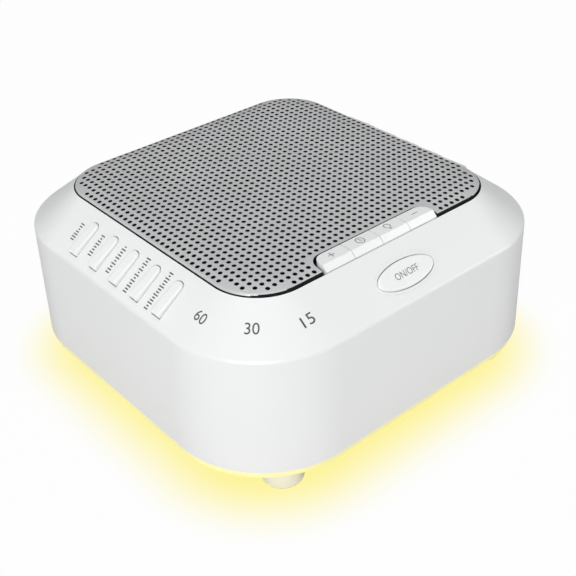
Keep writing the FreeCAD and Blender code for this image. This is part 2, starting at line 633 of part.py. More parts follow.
def speaker_parts():
    """Gasket, frame, surround, cone, dust cap, coil, spider, plate, magnet and yoke, by name."""
    flange_top = BAFFLE_Z - GASKET_T
    flange_low = flange_top - FRAME_T
    basket_low = flange_top - BASKET_DEPTH
    hole = SMALL_SCREW_D + 2 * SCREW_PLAY
    gasket = turned([(BAFFLE_HOLE_R, flange_top), (FRAME_R, flange_top), (FRAME_R, BAFFLE_Z),
                     (BAFFLE_HOLE_R, BAFFLE_Z)], 0, SPEAKER_Y)
    foot_r = PLATE_R + 1
    ledge_z = (flange_low + basket_low) / 2
    ledge_r = (BASKET_R + foot_r) / 2
    frame = turned([(COIL_R + COIL_NECK, basket_low), (foot_r, basket_low),
                    (BASKET_R + FRAME_T, flange_low), (FRAME_R, flange_low),
                    (FRAME_R, flange_top), (BASKET_R, flange_top),
                    (ledge_r, ledge_z), (ledge_r - BASKET_LEDGE, ledge_z),
                    (foot_r - FRAME_T, basket_low + FRAME_T),
                    (COIL_R + COIL_NECK, basket_low + FRAME_T)],
                   0, SPEAKER_Y)
    window = block(-BASKET_WINDOW / 2, BASKET_WINDOW / 2, foot_r - 2, BASKET_R + 2,
                   basket_low + 2 * FRAME_T, ledge_z - FRAME_T)
    for k in range(4):
        cutter = window.copy()
        cutter.rotate(V(0, 0, 0), V(0, 0, 1), 90 * k)
        cutter.translate(V(0, SPEAKER_Y, 0))
        frame = frame.cut(cutter)
    for x, y in speaker_screw_places():
        frame = frame.cut(rod(hole, flange_low - 1, flange_top + 1, x, y))
        gasket = gasket.cut(rod(hole, flange_top - 1, BAFFLE_Z + 1, x, y))
    roll_out = BAFFLE_HOLE_R - 2 * SURROUND_T
    roll_in = CONE_R + SURROUND_T
    mid, half = (roll_out + roll_in) / 2, (roll_out - roll_in) / 2
    roll = []
    for k in range(CURVE_STEPS + 1):
        a = math.pi * k / CURVE_STEPS
        roll.append((mid + half * math.cos(a), flange_top + SURROUND_RISE * math.sin(a)))
    lower = [(mid + (r - mid) * (1 - SURROUND_T / half), max(flange_top, z - SURROUND_T))
             for r, z in roll]
    surround = turned([(BAFFLE_HOLE_R - SURROUND_T / 2, flange_top),
                       (BAFFLE_HOLE_R - SURROUND_T / 2, flange_top + SURROUND_T)] +
                      [(r, z + SURROUND_T) for r, z in roll] +
                      [(CONE_R - 1, flange_top + SURROUND_T), (CONE_R - 1, flange_top)] +
                      lower[::-1], 0, SPEAKER_Y)
    neck_z = flange_top - CONE_DEPTH
    cone = turned([(CONE_R, flange_top), (CONE_R - CONE_RIM, flange_top),
                   (COIL_R + COIL_T, neck_z + CONE_T), (COIL_R + COIL_T, neck_z),
                   (COIL_R + COIL_T + CONE_T, neck_z - CONE_T)], 0, SPEAKER_Y)
    cap_r = COIL_R + CAP_OVER
    cap_z = neck_z + 1.2 * CONE_T + (cap_r - COIL_R - COIL_T) * CONE_DEPTH / (CONE_R - COIL_R)
    dome = []
    for k in range(CURVE_STEPS):
        a = math.pi / 2 * k / CURVE_STEPS
        dome.append((cap_r * math.cos(a), cap_z + CAP_RISE * math.sin(a)))
    inner = [(r - CONE_T, z - CONE_T) for r, z in dome[1:]]
    cap = turned(dome + [(0, cap_z + CAP_RISE), (0, cap_z + CAP_RISE - CONE_T)] + inner[::-1] +
                 [(cap_r - CONE_T, cap_z)], 0, SPEAKER_Y)
    plate_low = basket_low - PLATE_T
    coil = turned([(COIL_R, plate_low + COIL_LOW), (COIL_R + COIL_T, plate_low + COIL_LOW),
                   (COIL_R + COIL_T, neck_z + CONE_T), (COIL_R, neck_z + CONE_T)], 0, SPEAKER_Y)
    spider = turned([(COIL_R + COIL_T, ledge_z), (ledge_r - SPIDER_EDGE, ledge_z),
                     (ledge_r - SPIDER_EDGE, ledge_z + CONE_T), (COIL_R + COIL_T, ledge_z + CONE_T)],
                    0, SPEAKER_Y)
    gap_r = COIL_R + 2 * COIL_T
    plate = turned([(gap_r, plate_low), (PLATE_R, plate_low), (PLATE_R, basket_low),
                    (gap_r, basket_low)], 0, SPEAKER_Y)
    magnet_low = plate_low - MAGNET_T
    magnet = turned([(gap_r + MAGNET_HOLE, magnet_low), (MAGNET_R, magnet_low), (MAGNET_R, plate_low),
                     (gap_r + MAGNET_HOLE, plate_low)], 0, SPEAKER_Y)
    yoke = turned([(0, magnet_low - YOKE_T), (PLATE_R, magnet_low - YOKE_T),
                   (PLATE_R, magnet_low), (POLE_R, magnet_low), (POLE_R, basket_low - POLE_LOW),
                   (0, basket_low - POLE_LOW)], 0, SPEAKER_Y)
    return {"speaker_gasket": gasket, "speaker_frame": frame, "speaker_surround": surround,
            "speaker_cone": cone, "speaker_dust_cap": cap, "speaker_voice_coil": coil,
            "speaker_spider": spider, "speaker_top_plate": plate, "speaker_magnet": magnet,
            "speaker_yoke": yoke}


def speaker_screws():
    top = BAFFLE_Z - GASKET_T - FRAME_T
    length = SPEAKER_BITE + GASKET_T + FRAME_T
    out = []
    for x, y in speaker_screw_places():
        head = rod(SMALL_HEAD_D, top - SMALL_HEAD_H, top, x, y)
        out.append(union([head, rod(SMALL_SCREW_D, top, top + length, x, y)]))
    return out


# Base, ring and feet

def make_base():
    inset = RING_INSET + RING_FACE + FIT_GAP
    plate = prism(square(RIM_HALF - inset, RIM_R - inset, BASE_Z), BASE_T)
    adds, cuts = [], []
    head_z = BASE_Z + CUP_DEPTH
    for x, y in foot_places():
        adds.append(rod(CUP_D, BASE_Z, head_z + CUP_FLOOR, x, y))
        cuts.append(rod(BIG_HEAD_D + 2 * SCREW_PLAY, BASE_Z - 1, head_z, x, y))
        cuts.append(rod(BIG_SCREW_D + 2 * SCREW_PLAY, BASE_Z - 1, head_z + CUP_FLOOR + 1, x, y))
    for x, y in main_post_places():
        adds.append(rod(MAIN_POST_D, BASE_Z, BASE_TOP + MAIN_POST_H, x, y))
        cuts.append(rod(SMALL_SCREW_D, BASE_TOP, BASE_TOP + MAIN_POST_H + 1, x, y))
    rib_out = light_board_outset() + BASE_RIB_IN
    rib_in = light_board_outset() + LIGHT_BOARD_W - BASE_RIB_IN
    adds.append(ring(square(RIM_HALF - rib_out, RIM_R - rib_out, BASE_Z),
                     square(RIM_HALF - rib_in, RIM_R - rib_in, BASE_Z),
                     BASE_T + LIGHT_BOARD_GAP))
    return plate.multiFuse(adds).cut(Part.makeCompound(cuts)).removeSplitter()


def make_ring():
    face_in = RING_INSET + RING_FACE
    shelf_in = face_in + RING_SHELF
    lip_out = SHELL_T + FIT_GAP
    seam = RING_INSET + RING_SEAM
    outer = ring(square(RIM_HALF - RING_INSET, RIM_R - RING_INSET, RING_Z),
                 square(RIM_HALF - face_in, RIM_R - face_in, RING_Z), RING_H)
    shelf = ring(square(RIM_HALF - seam, RIM_R - seam, BASE_TOP),
                 square(RIM_HALF - shelf_in, RIM_R - shelf_in, BASE_TOP), RIM_Z - BASE_TOP)
    lip = ring(square(RIM_HALF - lip_out, RIM_R - lip_out, BASE_TOP),
               square(RIM_HALF - lip_out - RING_LIP_T, RIM_R - lip_out - RING_LIP_T, BASE_TOP),
               RIM_Z - BASE_TOP + RING_LIP_H)
    out = union([outer, shelf, lip])
    for x, y in foot_places():
        out = out.cut(rod(CUP_D + 2 * FIT_GAP, RING_Z - 1, RIM_Z + RING_LIP_H + 1, x, y))
    return out


def make_foot(x, y):
    body = rod(FOOT_D, 0, FOOT_H, x, y)
    low = edges_where(body, lambda p: p.z < 0.01)
    body = body.makeFillet(FOOT_ROUND, low)
    plug = rod(BIG_HEAD_D, FOOT_H - PLUG_ROOT, BASE_Z + CUP_DEPTH - BIG_HEAD_H - PLUG_GAP, x, y)
    return union([body, plug])


def housing_screws():
    out = []
    z = BASE_Z + CUP_DEPTH
    for x, y in foot_places():
        head = rod(BIG_HEAD_D, z - BIG_HEAD_H, z, x, y)
        head = head.cut(rod(BIG_SCREW_D, z - BIG_HEAD_H - 1, z - BIG_HEAD_H / 2, x, y))
        out.append(union([head, rod(BIG_SCREW_D, z, z + BIG_SCREW_LEN, x, y)]))
    return out


# Light board

def light_board_outset():
    """From the rim to the light board's outer edge."""
    return RING_INSET + RING_FACE + RING_SHELF + FIT_GAP


def make_light_board():
    out_in = light_board_outset()
    z = BASE_TOP + LIGHT_BOARD_GAP
    wide = out_in + LIGHT_BOARD_W
    plate = ring(square(RIM_HALF - out_in, RIM_R - out_in, z),
                 square(RIM_HALF - wide, RIM_R - wide, z), BOARD_T)
    clear = CUP_D + 2 * FIT_GAP
    for x, y in foot_places():
        plate = plate.cut(rod(clear, z - 1, z + BOARD_T + 1, x, y))
    return plate


def make_leds():
    z = BASE_TOP + LIGHT_BOARD_GAP + BOARD_T
    length, depth, height = LED_SIZE
    y = RIM_HALF - light_board_outset()
    out = []
    for turn in range(4):
        for k in range(LED_PER_SIDE):
            x = (k - (LED_PER_SIDE - 1) / 2) * LED_PITCH
            led = block(x - length / 2, x + length / 2, y - depth, y, z, z + height)
            led.rotate(V(0, 0, 0), V(0, 0, 1), 90 * turn)
            out.append(led)
    return out


# Main board and inlet

def main_back():
    """The main board's back edge: the inlet on it reaches the back wall."""
    return CREASE_SIDE / 2 - SHELL_T - JACK_L / 2


def main_post_places():
    x = MAIN_W / 2 - MAIN_EDGE
    y1 = main_back() - MAIN_EDGE
    y0 = main_back() - MAIN_L + MAIN_EDGE
    return [(sx * x, y) for sx in (-1, 1) for y in (y0, y1)]


def make_main_board():
    top = BASE_TOP + MAIN_POST_H + BOARD_T
    return board(-MAIN_W / 2, MAIN_W / 2, main_back() - MAIN_L, main_back(), top,
                 main_post_places())


def main_screws():
    """Screws that hold the main board down on its posts."""
    out = []
    top = BASE_TOP + MAIN_POST_H + BOARD_T
    for x, y in main_post_places():
        head = rod(SMALL_HEAD_D, top, top + SMALL_HEAD_H, x, y)
        out.append(union([head, rod(SMALL_SCREW_D, top - SMALL_SCREW_LEN, top, x, y)]))
    return out


def main_parts():
    """Sound chip, amplifier and capacitors on the main board."""
    z = BASE_TOP + MAIN_POST_H + BOARD_T
    y = main_back()
    chips = [block(x, x + w, y - back, y - back + d, z, z + h) for x, back, w, d, h in CHIPS]
    cans = [rod(d, z, z + h, x, y - back) for x, back, d, h in CANS]
    return chips + cans


def make_jack():
    """Power inlet: a block with a round bore and a centre pin, open towards the back."""
    z = jack_z()
    y1 = CREASE_SIDE / 2 - SHELL_T - FIT_GAP
    body = block(-JACK_W / 2, JACK_W / 2, y1 - JACK_L, y1, z - JACK_H / 2, z + JACK_H / 2)
    low_y = y1 - JACK_L
    body = body.cut(Part.makeCylinder(JACK_BORE_D / 2, JACK_BORE_L + 1,
                                      V(0, y1 - JACK_BORE_L, z), V(0, 1, 0)))
    keep_clear = block(-JACK_W, JACK_W, main_back() + FIT_GAP, y1 + 1, z - JACK_H, z - JACK_H / 2)
    pin = Part.makeCylinder(JACK_PIN_D / 2, JACK_L - 2 * JACK_BACK, V(0, low_y + JACK_BACK, z),
                            V(0, 1, 0))
    return body.cut(keep_clear).fuse(pin).removeSplitter()


# Writing the nodes

def save(name, shapes):
    solids = shapes if isinstance(shapes, list) else [shapes]
    parts = [s for shape in solids for s in shape.Solids]
    for s in parts:
        if not s.isValid():
            raise ValueError(name + " holds a solid that is not valid")
    out = parts[0] if len(parts) == 1 else Part.makeCompound(parts)
    out.exportStep("parts/" + name + ".step")
    print(name, len(parts), "solids", round(out.Volume, 1), "mm3")


def main():
    os.makedirs("parts", exist_ok=True)
    save("top_housing", make_housing())
    save("speaker_grille", make_grille())
    save("base_cover", make_base())
    save("light_ring", make_ring())
    for name, (x, y) in zip(("left_front", "left_back", "right_front", "right_back"),
                            foot_places()):
        save("foot_" + name, make_foot(x, y))
    for i, name in enumerate(BAR_KEYS):
        save(name, bar_key(i))
    save("power_button", power_button())
    for side, word in ((LEFT, "left"), (RIGHT, "right")):
        for i, x in enumerate(sound_xs(side)):
            save("sound_key_%s_%d" % (word, i + 1), sound_key(x, side))
    board_screws = []
    for side, word in ((LEFT, "left"), (RIGHT, "right")):
        plate, switches, screws = side_electronics(side)
        save("switch_board_" + word, plate)
        save("switches_" + word, switches)
        board_screws += screws
    plate, one, screws = power_electronics()
    save("switch_board_power", plate)
    save("switch_power", one)
    board_screws += screws
    plate, switches, screws = bar_electronics()
    save("switch_board_bar", plate)
    save("switches_bar", switches)
    board_screws += screws
    save("board_screws", board_screws + main_screws())
    for name, solid in speaker_parts().items():
        save(name, solid)
    save("speaker_screws", speaker_screws())
    save("housing_screws", housing_screws())
    save("light_board", make_light_board())
    save("light_board_leds", make_leds())
    save("main_board", make_main_board())
    save("main_board_parts", main_parts())
    save("power_inlet", make_jack())


main()
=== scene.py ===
import json
import math
import bmesh
import bpy
from bpy.props import FloatProperty, FloatVectorProperty, PointerProperty
from mathutils import Matrix, Vector
from mathutils.geometry import delaunay_2d_cdt


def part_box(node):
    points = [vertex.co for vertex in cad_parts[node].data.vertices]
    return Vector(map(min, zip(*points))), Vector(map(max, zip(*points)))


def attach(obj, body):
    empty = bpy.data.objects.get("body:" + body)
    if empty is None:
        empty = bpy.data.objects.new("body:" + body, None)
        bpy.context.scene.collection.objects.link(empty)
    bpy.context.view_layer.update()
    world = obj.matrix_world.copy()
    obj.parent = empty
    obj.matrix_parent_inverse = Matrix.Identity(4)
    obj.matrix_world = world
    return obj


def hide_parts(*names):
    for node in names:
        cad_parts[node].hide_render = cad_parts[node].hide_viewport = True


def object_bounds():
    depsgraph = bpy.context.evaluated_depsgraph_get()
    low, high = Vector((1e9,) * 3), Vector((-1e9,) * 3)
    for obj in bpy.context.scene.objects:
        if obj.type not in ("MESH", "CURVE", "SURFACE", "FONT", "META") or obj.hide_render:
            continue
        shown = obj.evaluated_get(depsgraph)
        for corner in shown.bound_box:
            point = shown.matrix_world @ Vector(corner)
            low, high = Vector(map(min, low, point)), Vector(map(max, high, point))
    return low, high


# Looks of a bedside sound machine: a white rounded-square housing with a silver perforated grille,
# a bar of four keys, an oval power button, raised sound keys, grey printed marks and a lit ring
# whose glow is painted on the table. Metres, in the frame of the imported model: +Z up, the front
# is -Y.

bl_info = {
    "name": "Bedside sound machine",
    "version": (1, 0, 0),
    "blender": (4, 5, 0),
    "location": "3D View > Sidebar > Sound machine",
    "description": "Dresses the sound machine's pieces and sets its stage",
    "category": "Object",
}

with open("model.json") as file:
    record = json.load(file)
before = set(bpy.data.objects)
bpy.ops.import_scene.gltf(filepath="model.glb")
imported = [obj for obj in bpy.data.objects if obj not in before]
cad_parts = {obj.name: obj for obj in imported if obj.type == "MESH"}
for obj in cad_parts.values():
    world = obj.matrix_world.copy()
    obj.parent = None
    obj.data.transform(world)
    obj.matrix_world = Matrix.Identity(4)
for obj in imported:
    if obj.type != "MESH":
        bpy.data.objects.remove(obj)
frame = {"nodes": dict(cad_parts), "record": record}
CAD_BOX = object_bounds()
MM = 0.001
CASE = "case"

HOUSING_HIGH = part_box("top_housing")[1]
GRILLE_LOW, GRILLE_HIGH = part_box("speaker_grille")
RING_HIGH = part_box("light_ring")[1]
KEY_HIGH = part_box("plus_key")[1]

# an edge that bends more than this keeps a crisp line
SHARP = math.radians(32)
# turns from the front slope to each slope that carries something
LEFT, FRONT, RIGHT = math.radians(-90), 0.0, math.radians(90)

# the noises are turned off the machine's own directions, so that no wall lies along their lattice
NOISE_TURN = (0.6, 0.9, 0.4)
# most of a noise lies between these values
NOISE_LOW, NOISE_HIGH = 0.3, 0.7
# noise cells to a metre, for slow changes of shade and gloss and for the glow in milky plastic
PATCH = 60.0
GLOW_PATCH = 40.0
BUMP_DEPTH = 0.05 * MM

# halvings and first bounds of the search for a point's place on the slope
HALVINGS = 40
SHARE_BOUNDS = (-0.2, 1.2)
# points of a line closer than this are one
SAME_POINT = 1e-7
# a drawn line's outer corner reaches out at most the half width divided by this
MITRE = 0.3
# part of the print height that is ink: the rest is a gap, so that ink and plastic never coincide
INK_PART = 0.9


def length(name, text, value):
    return FloatProperty(name=name, description=text, default=value, unit="LENGTH",
                         subtype="DISTANCE", min=0.0, precision=5)


def colour(name, text, value):
    return FloatVectorProperty(name=name, description=text, default=value, size=3,
                               subtype="COLOR", min=0.0, max=1.0)


class MachineSizes(bpy.types.PropertyGroup):
    """Sizes of the machine's visible pieces."""

    crease_side: length("Crease side", "Across the housing at the crease", 110.4 * MM)
    crease_radius: length("Crease radius", "Corner radius at the crease", 27.0 * MM)
    opening_side: length("Opening side", "Across the grille's opening", 85.5 * MM)
    opening_radius: length("Opening radius", "Corner radius of the opening", 13.7 * MM)
    slope_rise: length("Slope rise", "Height of the sloping band", 9.2 * MM)
    well_depth: length("Well depth", "Depth of the well that holds the grille", 4.0 * MM)
    hole: length("Hole", "Diameter of the grille's holes", 1.2 * MM)
    pitch: length("Hole pitch", "Distance between the grille's holes", 2.05 * MM)
    sheet: length("Sheet", "Thickness of the grille's sheet", 0.35 * MM)
    grille_roll: length("Grille roll", "Radius of the grille's rolled edge", 0.7 * MM)
    flange: length("Flange", "Thickness of the grille's edge down in the well", 0.6 * MM)
    grille_crown: length("Grille crown", "Fall of the grille towards its edge", 0.7 * MM)
    crown_width: length("Crown width", "Width of the band that falls", 7.0 * MM)
    notch_gap: length("Notch gap", "Gap between the grille and the key bar", 0.8 * MM)
    bar_width: length("Bar width", "Length of the key bar", 37.5 * MM)
    bar_depth: length("Bar depth", "Depth of the key bar from front to back", 5.3 * MM)
    bar_bevel: length("Bar bevel", "Width of the bevel on the front of the keys", 1.4 * MM)
    bar_shift: length("Bar shift", "The bar's middle stands this far to the left", 1.4 * MM)
    bar_end_radius: length("Bar end radius", "Radius of the key bar's back corners", 3.0 * MM)
    key_gap: length("Key gap", "Gap between keys, and round the bar", 0.2 * MM)
    oval_shift: length("Oval shift", "The power button stands this far to the left", 1.0 * MM)
    oval_up: length("Oval height", "Middle of the power button, up the slope", 6.9 * MM)
    oval_proud: length("Oval proud", "The power button stands this far out", 0.7 * MM)
    oval_text_width: length("Oval text width", "Width of the power button's text", 7.6 * MM)
    oval_text_height: length("Oval text height", "Height of the power button's text", 1.8 * MM)
    sound_pitch: length("Sound pitch", "Distance between the sound keys", 9.3 * MM)
    sound_shift: length("Sound shift", "The key rows stand this far to the front", 1.0 * MM)
    label_offset: length("Label offset", "From a sound key to its label, to the back", 4.25 * MM)
    label_width: length("Label width", "Width of the labels of the sound keys", 1.7 * MM)
    print_height: length("Print height", "Thickness of the printed marks", 0.03 * MM)
    ink_rise: length("Ink rise", "The keys' signs stand this far above the keys", 0.01 * MM)
    digit_width: length("Digit width", "Width of the timer's two digits", 3.4 * MM)
    digit_height: length("Digit height", "Height of the timer's digits", 2.7 * MM)
    stroke: length("Stroke", "Thickness of the drawn lines", 0.26 * MM)


class MachineLooks(bpy.types.PropertyGroup):
    """Colours of the machine's pieces and of its stage."""

    shell: colour("Housing", "White plastic of the housing", (0.80, 0.81, 0.81))
    keys: colour("Keys", "White plastic of the keys", (0.84, 0.845, 0.85))
    grille: colour("Grille", "Painted metal of the grille", (0.60, 0.605, 0.615))
    marks: colour("Marks", "Printed digits and signs", (0.07, 0.07, 0.075))
    soft_marks: colour("Soft marks", "Lighter printed signs on the keys", (0.22, 0.22, 0.23))
    feet: colour("Feet", "Pale rubber of the feet", (0.86, 0.84, 0.74))
    ring: colour("Ring", "Milky plastic of the ring", (0.80, 0.74, 0.38))
    ring_light: colour("Ring light", "Light that the ring gives", (1.0, 0.92, 0.4))
    glow: colour("Lamps", "Light of the small lamps behind the ring", (1.0, 0.86, 0.22))
    # painted light: the ring's glow, painted into the table's colour
    painted_table_glow: colour("Table glow", "The ring's light on the table", (1.0, 0.92, 0.33))
    floor: colour("Floor", "Table under the machine", (0.62, 0.62, 0.62))


# Materials

def nodes_of(mat):
    mat.use_nodes = True
    return mat.node_tree.nodes, mat.node_tree.links


def add_noise(nodes, links, scale, detail=3.0):
    """Noise in the machine's own frame, so that it keeps its size on every piece."""
    coords = nodes.new("ShaderNodeTexCoord")
    turn = nodes.new("ShaderNodeMapping")
    turn.inputs["Rotation"].default_value = NOISE_TURN
    links.new(coords.outputs["Object"], turn.inputs["Vector"])
    noise = nodes.new("ShaderNodeTexNoise")
    noise.inputs["Scale"].default_value = scale
    noise.inputs["Detail"].default_value = detail
    links.new(turn.outputs["Vector"], noise.inputs["Vector"])
    return noise.outputs["Fac"]


def map_range(nodes, links, source, start, end, low, high, kind="LINEAR"):
    """Turn a value that runs from start to end into one that runs from low to high."""
    out = nodes.new("ShaderNodeMapRange")
    out.interpolation_type = kind
    out.inputs["From Min"].default_value = start
    out.inputs["From Max"].default_value = end
    out.inputs["To Min"].default_value = low
    out.inputs["To Max"].default_value = high
    links.new(source, out.inputs["Value"])
    return out.outputs["Result"]


def mix_colours(nodes, links, share, first, second):
    mix = nodes.new("ShaderNodeMix")
    mix.data_type = "RGBA"
    mix.inputs["A"].default_value = (*first, 1)
    mix.inputs["B"].default_value = (*second, 1)
    links.new(share, mix.inputs["Factor"])
    return mix.outputs["Result"]


def reckon(nodes, links, operation, source, value=None):
    """A Math node on a source, and on a fixed second value where there is one."""
    node = nodes.new("ShaderNodeMath")
    node.operation = operation
    links.new(source, node.inputs[0])
    if value is not None:
        node.inputs[1].default_value = value
    return node.outputs["Value"]


def finish_material(name, base, rough, shade=0.03, rough_spread=0.05, grain=1300.0, bump=0.02,
                    metallic=0.0, coat=0.0, coat_rough=0.1):
    """A surface with slow changes of shade and gloss and a fine grain."""
    mat = bpy.data.materials.new(name)
    nodes, links = nodes_of(mat)
    bsdf = nodes["Principled BSDF"]
    slow = add_noise(nodes, links, PATCH)
    fine = add_noise(nodes, links, grain, 1.0)
    dim = [c * (1 - shade) for c in base]
    bright = [min(1.0, c * (1 + shade)) for c in base]
    links.new(mix_colours(nodes, links, slow, dim, bright), bsdf.inputs["Base Color"])
    gloss = map_range(nodes, links, slow, NOISE_LOW, NOISE_HIGH,
                      rough - rough_spread, rough + rough_spread)
    links.new(gloss, bsdf.inputs["Roughness"])
    lift = nodes.new("ShaderNodeBump")
    lift.inputs["Strength"].default_value = bump
    lift.inputs["Distance"].default_value = BUMP_DEPTH
    links.new(fine, lift.inputs["Height"])
    links.new(lift.outputs["Normal"], bsdf.inputs["Normal"])
    bsdf.inputs["Metallic"].default_value = metallic
    bsdf.inputs["Coat Weight"].default_value = coat
    bsdf.inputs["Coat Roughness"].default_value = coat_rough
    return mat


def glowing_material(name, base, light, strength):
    """Milky plastic lit from behind, a little brighter in some patches than in others."""
    mat = finish_material(name, base, 0.35, shade=0.02, bump=0.03)
    nodes, links = nodes_of(mat)
    bsdf = nodes["Principled BSDF"]
    patches = add_noise(nodes, links, GLOW_PATCH)
    power = map_range(nodes, links, patches, NOISE_LOW, NOISE_HIGH,
                      strength * 0.85, strength * 1.15)
    bsdf.inputs["Emission Color"].default_value = (*light, 1)
    links.new(power, bsdf.inputs["Emission Strength"])
    return mat


def ink_material(name, base):
    return finish_material(name, base, 0.45, shade=0.1, bump=0.05)


def painted_shade():
    """Painted shade: a near-black tone on the hole walls, in the well and on the grille's edge,
    standing for shade and dark reflections.
    """
    name = "painted_shade"
    mat = bpy.data.materials.get(name)
    if mat is None:
        mat = finish_material(name, (0.012, 0.012, 0.013), 0.9, shade=0.2, bump=0.2)
        mat.node_tree.nodes["Principled BSDF"].inputs["Specular IOR Level"].default_value = 0.1
    return mat


def dress(node, mat):
    """Give a carried-over node its material."""
    obj = frame["nodes"][node]
    obj.data.materials.clear()
    obj.data.materials.append(mat)
    for face in obj.data.polygons:
        face.use_smooth = True
    obj.data.set_sharp_from_angle(angle=SHARP)
    even = obj.modifiers.new("even_shading", "WEIGHTED_NORMAL")
    even.keep_sharp = True


# Places on the machine

def distance_to_outline(x, y, half, radius):
    """Signed distance of a point from a rounded square, negative inside."""
    ax, ay = abs(x) - (half - radius), abs(y) - (half - radius)
    return math.hypot(max(ax, 0.0), max(ay, 0.0)) + min(max(ax, ay), 0.0) - radius


def slope_share(x, y):
    """How far up the slope a point lies in plan: 0 at the crease and 1 at the opening."""
    size = bpy.context.scene.machine_sizes
    low, high = SHARE_BOUNDS
    for _ in range(HALVINGS):
        t = (low + high) / 2
        half = (size.crease_side + (size.opening_side - size.crease_side) * t) / 2
        radius = size.crease_radius + (size.opening_radius - size.crease_radius) * t
        if distance_to_outline(x, y, half, radius) > 0:
            high = t
        else:
            low = t
    return low


def crease_z():
    size = bpy.context.scene.machine_sizes
    return HOUSING_HIGH.z - size.slope_rise


def slope_z(x, y):
    size = bpy.context.scene.machine_sizes
    return crease_z() + size.slope_rise * slope_share(x, y)


def slope_angle():
    size = bpy.context.scene.machine_sizes
    return math.atan2(size.slope_rise, (size.crease_side - size.opening_side) / 2)


def slope_frame(side):
    """Matrix from a slope's own frame: x along the crease, y up the slope, z out of it."""
    size = bpy.context.scene.machine_sizes
    lift = Matrix.Translation((0, -size.crease_side / 2, crease_z()))
    return Matrix.Rotation(side, 4, "Z") @ lift @ Matrix.Rotation(slope_angle(), 4, "X")


def bar_sides():
    """Left, right, front and back of the key bar."""
    size = bpy.context.scene.machine_sizes
    front = -size.opening_side / 2 + size.key_gap
    middle = -size.bar_shift
    return (middle - size.bar_width / 2, middle + size.bar_width / 2, front,
            front + size.bar_depth)


def rounded_path(half, radius, steps):
    """Points and outward normals once round a rounded square, counter-clockwise from its right."""
    out = []
    c = half - radius
    for k, (sx, sy) in enumerate(((1, 1), (-1, 1), (-1, -1), (1, -1))):
        for i in range(steps + 1):
            a = math.radians(90 * k) + math.pi / 2 * i / steps
            n = Vector((math.cos(a), math.sin(a)))
            out.append((Vector((sx * c, sy * c)) + n * radius, n))
    return out


# Meshes

def make_object(name, mesh, mat, body, smooth=True):
    obj = bpy.data.objects.new(name, mesh)
    bpy.context.scene.collection.objects.link(obj)
    mesh.materials.clear()
    mesh.materials.append(mat)
    for face in mesh.polygons:
        face.use_smooth = smooth
    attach(obj, body)
    return obj


def mesh_from(bm, name):
    """Turn a bmesh into a mesh and free it."""
    mesh = bpy.data.meshes.new(name)
    bm.to_mesh(mesh)
    bm.free()
    return mesh


def flat_mesh(points, faces):
    mesh = bpy.data.meshes.new("flat")
    mesh.from_pydata([(x, y, 0) for x, y in points], [], faces)
    return mesh


def text_mesh(text, width, height):
    """Flat mesh of a line of text, centred, with the given width and height."""
    curve = bpy.data.curves.new("line", "FONT")
    curve.body = text
    curve.resolution_u = 6
    obj = bpy.data.objects.new("line", curve)
    bpy.context.scene.collection.objects.link(obj)
    graph = bpy.context.evaluated_depsgraph_get()
    mesh = bpy.data.meshes.new_from_object(obj.evaluated_get(graph))
    bpy.data.objects.remove(obj)
    xs = [v.co.x for v in mesh.vertices]
    ys = [v.co.y for v in mesh.vertices]
    middle = Vector(((min(xs) + max(xs)) / 2, (min(ys) + max(ys)) / 2, 0))
    fit = Matrix.Diagonal((width / (max(xs) - min(xs)), height / (max(ys) - min(ys)), 1, 1))
    mesh.transform(fit @ Matrix.Translation(-middle))
    return mesh


def drawn_mesh(lines, width):
    """Flat mesh of drawn lines, each a list of points. A line that ends where it starts closes."""
    points, faces = [], []
    for line in lines:
        line = [Vector(p) for p in line]
        closed = (line[0] - line[-1]).length < SAME_POINT
        if closed:
            line = line[:-1]
        n = len(line)
        base = len(points)
        for k, p in enumerate(line):
            before = line[k - 1] if closed or k > 0 else p * 2 - line[k + 1]
            after = line[(k + 1) % n] if closed or k < n - 1 else p * 2 - line[k - 1]
            a, b = (p - before).normalized(), (after - p).normalized()
            side = Vector((-a.y - b.y, a.x + b.x)).normalized()
            reach = width / 2 / max(MITRE, side.dot(Vector((-a.y, a.x))))
            points += [p + side * reach, p - side * reach]
        for k in range(n if closed else n - 1):
            m = (k + 1) % n
            faces.append((base + 2 * k, base + 2 * k + 1, base + 2 * m + 1, base + 2 * m))
    return flat_mesh(points, faces)


def circle_line(x, y, radius, start=0, end=360, steps=32):
    """Points on an arc, as a line to draw."""
    angles = [math.radians(start + (end - start) * k / steps) for k in range(steps + 1)]
    line = [(x + radius * math.cos(a), y + radius * math.sin(a)) for a in angles]
    if end - start == 360:
        line[-1] = line[0]
    return line


def lay_print(mesh, matrix, surface=None):
    """Lay a flat mesh on the machine and give it a thickness.

    matrix puts the flat mesh in place, and surface gives the height under a point in plan."""
    height = bpy.context.scene.machine_sizes.print_height
    up = Vector((0, 0, 1))
    out_of = matrix.to_3x3() @ up if surface is None else up
    bm = bmesh.new()
    bm.from_mesh(mesh)
    for v in bm.verts:
        v.co = matrix @ v.co
        if surface is not None:
            v.co.z = surface(v.co.x, v.co.y)
        v.co += out_of * height
    made = bmesh.ops.extrude_face_region(bm, geom=bm.faces[:])
    for v in [g for g in made["geom"] if isinstance(g, bmesh.types.BMVert)]:
        v.co -= out_of * height * INK_PART
    bmesh.ops.recalc_face_normals(bm, faces=bm.faces[:])
    return mesh_from(bm, "print")


# Grille

